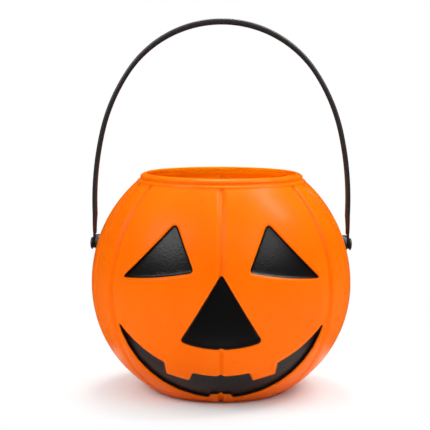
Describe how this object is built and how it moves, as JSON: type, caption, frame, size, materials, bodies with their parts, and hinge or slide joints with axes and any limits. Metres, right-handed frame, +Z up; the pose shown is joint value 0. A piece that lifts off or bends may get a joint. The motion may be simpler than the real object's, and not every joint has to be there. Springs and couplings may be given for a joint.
{
  "type": "pumpkin candy pail",
  "caption": "Round orange plastic pumpkin pail with a grooved body, recessed black jack-o'-lantern face, open top and a swinging black strap handle.",
  "frame": {"origin": "on the floor, on the axis of the round body", "axes": "+Z up along the body's axis, -Y towards the face side, X along the handle's pivot axis"},
  "size_m": [0.2174, 0.2143, 0.3069],
  "materials": {
    "orange_shell": "semi-gloss blow-moulded polyethylene",
    "black_paint": "satin sprayed paint",
    "black_plastic": "satin moulded polyethylene"
  },
  "bodies": {
    "pail": {"pail_shell": "orange_shell", "left_eye_paint": "black_paint", "right_eye_paint": "black_paint", "nose_paint": "black_paint", "mouth_paint": "black_paint", "left_pivot_rivet": "black_plastic", "right_pivot_rivet": "black_plastic"},
    "handle": {"bail_handle": "black_plastic"}
  },
  "joints": [
    {"name": "handle_swing", "type": "hinge", "parent": "pail", "child": "handle", "pos_m": [0, 0, 0.1215], "axis": [1, 0, 0], "range_deg": [-100, 100]}
  ]
}
